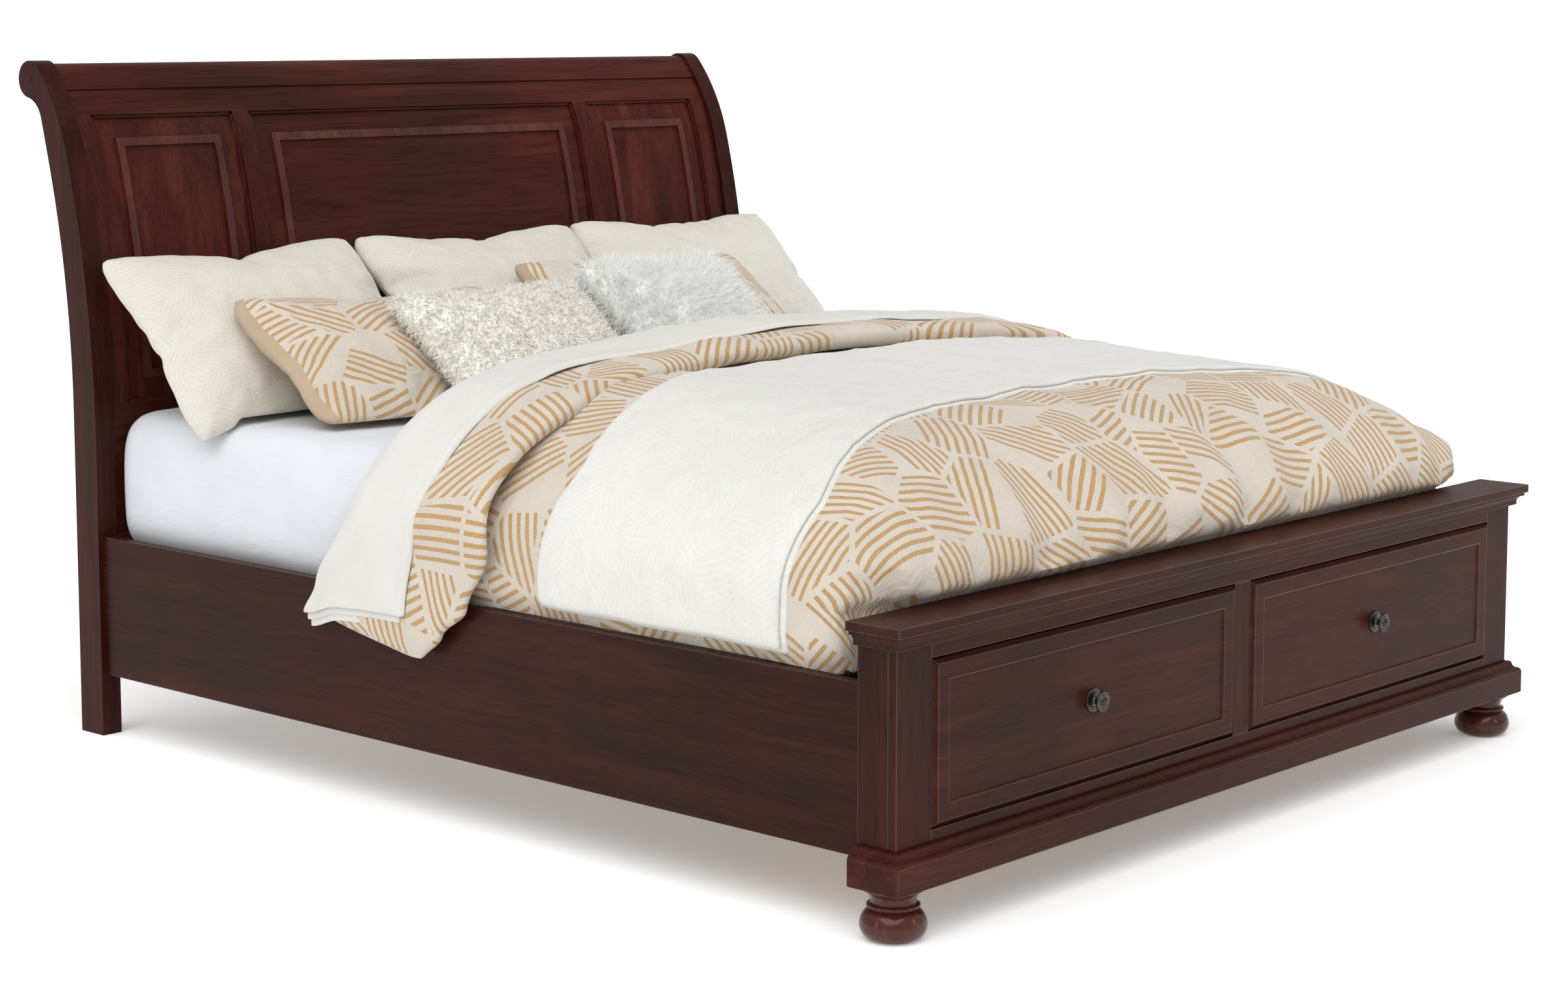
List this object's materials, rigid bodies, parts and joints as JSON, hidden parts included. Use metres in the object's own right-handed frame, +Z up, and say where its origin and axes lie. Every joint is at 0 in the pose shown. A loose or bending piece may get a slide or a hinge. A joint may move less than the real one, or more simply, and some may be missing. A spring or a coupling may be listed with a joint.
{
  "type": "sleigh bed",
  "caption": "King size sleigh bed with a curved frame-and-panel headboard, side rails, a slatted base, and a low footboard on bun feet with two drawers, made up with bedding.",
  "frame": {"origin": "on the floor, in the middle of the whole bed", "axes": "+X to the right seen from the foot, +Y towards the headboard, +Z up"},
  "size_m": [2.108, 2.513, 1.45],
  "materials": {
    "cherry_wood": "satin",
    "pale_wood": "matte",
    "zinc_steel": "satin",
    "dark_pewter": "satin",
    "white_sheet": "matte",
    "printed_linen": "matte",
    "ivory_cotton": "matte",
    "ivory_plush": "matte",
    "cream_quilt": "matte",
    "ivory_boucle": "matte",
    "white_fur": "matte"
  },
  "bodies": {
    "bed_frame": {"left_head_post": "cherry_wood", "right_head_post": "cherry_wood", "left_head_leg": "cherry_wood", "right_head_leg": "cherry_wood", "crest_roll": "cherry_wood", "headboard_top_rail": "cherry_wood", "headboard_stiles": "cherry_wood", "headboard_mullions": "cherry_wood", "headboard_side_panels": "cherry_wood", "headboard_centre_panel": "cherry_wood", "panel_beads": "cherry_wood", "headboard_bottom_rail": "cherry_wood", "headboard_lower_panel": "cherry_wood", "headboard_cross_rail": "cherry_wood", "screw_caps": "cherry_wood", "left_side_rail": "cherry_wood", "right_side_rail": "cherry_wood", "slat_cleats": "pale_wood", "rail_hooks": "zinc_steel", "lap_bolts": "zinc_steel", "centre_beam": "pale_wood", "support_legs": "pale_wood", "levelling_feet": "zinc_steel", "slats": "pale_wood", "footboard_stiles": "cherry_wood", "footboard_top_rail": "cherry_wood", "footboard_bottom_rail": "cherry_wood", "footboard_sides": "cherry_wood", "footboard_back_panel": "cherry_wood", "footboard_base_board": "cherry_wood", "footboard_cap": "cherry_wood", "cornice_moulding": "cherry_wood", "base_moulding": "cherry_wood", "plinth": "cherry_wood", "bun_feet": "cherry_wood", "drawer_case": "pale_wood", "drawer_case_back": "pale_wood", "slide_outer_members": "zinc_steel", "mattress": "white_sheet", "duvet": "printed_linen", "flat_sheet": "ivory_cotton", "throw": "ivory_plush", "back_pillows": "cream_quilt", "patterned_pillows": "printed_linen", "boucle_pillow": "ivory_boucle", "fur_pillow": "white_fur"},
    "left_drawer": {"left_drawer_front": "cherry_wood", "left_drawer_panel": "cherry_wood", "left_drawer_box": "pale_wood", "left_drawer_bottom": "pale_wood", "left_drawer_knob": "dark_pewter", "left_slide_inner": "zinc_steel"},
    "left_slides": {"left_slide_middle": "zinc_steel"},
    "right_drawer": {"right_drawer_front": "cherry_wood", "right_drawer_panel": "cherry_wood", "right_drawer_box": "pale_wood", "right_drawer_bottom": "pale_wood", "right_drawer_knob": "dark_pewter", "right_slide_inner": "zinc_steel"},
    "right_slides": {"right_slide_middle": "zinc_steel"}
  },
  "joints": [
    {"name": "left_drawer_slide", "type": "slide", "parent": "bed_frame", "child": "left_drawer", "axis": [0, -1, 0], "range_m": [0, 0.36]},
    {"name": "left_slides_travel", "type": "slide", "parent": "bed_frame", "child": "left_slides", "axis": [0, -1, 0], "range_m": [0, 0.18]},
    {"name": "right_drawer_slide", "type": "slide", "parent": "bed_frame", "child": "right_drawer", "axis": [0, -1, 0], "range_m": [0, 0.36]},
    {"name": "right_slides_travel", "type": "slide", "parent": "bed_frame", "child": "right_slides", "axis": [0, -1, 0], "range_m": [0, 0.18]}
  ],
  "couplings": [
    {"joint": "left_slides_travel", "follows": "left_drawer_slide", "ratio": 0.5},
    {"joint": "right_slides_travel", "follows": "right_drawer_slide", "ratio": 0.5}
  ]
}
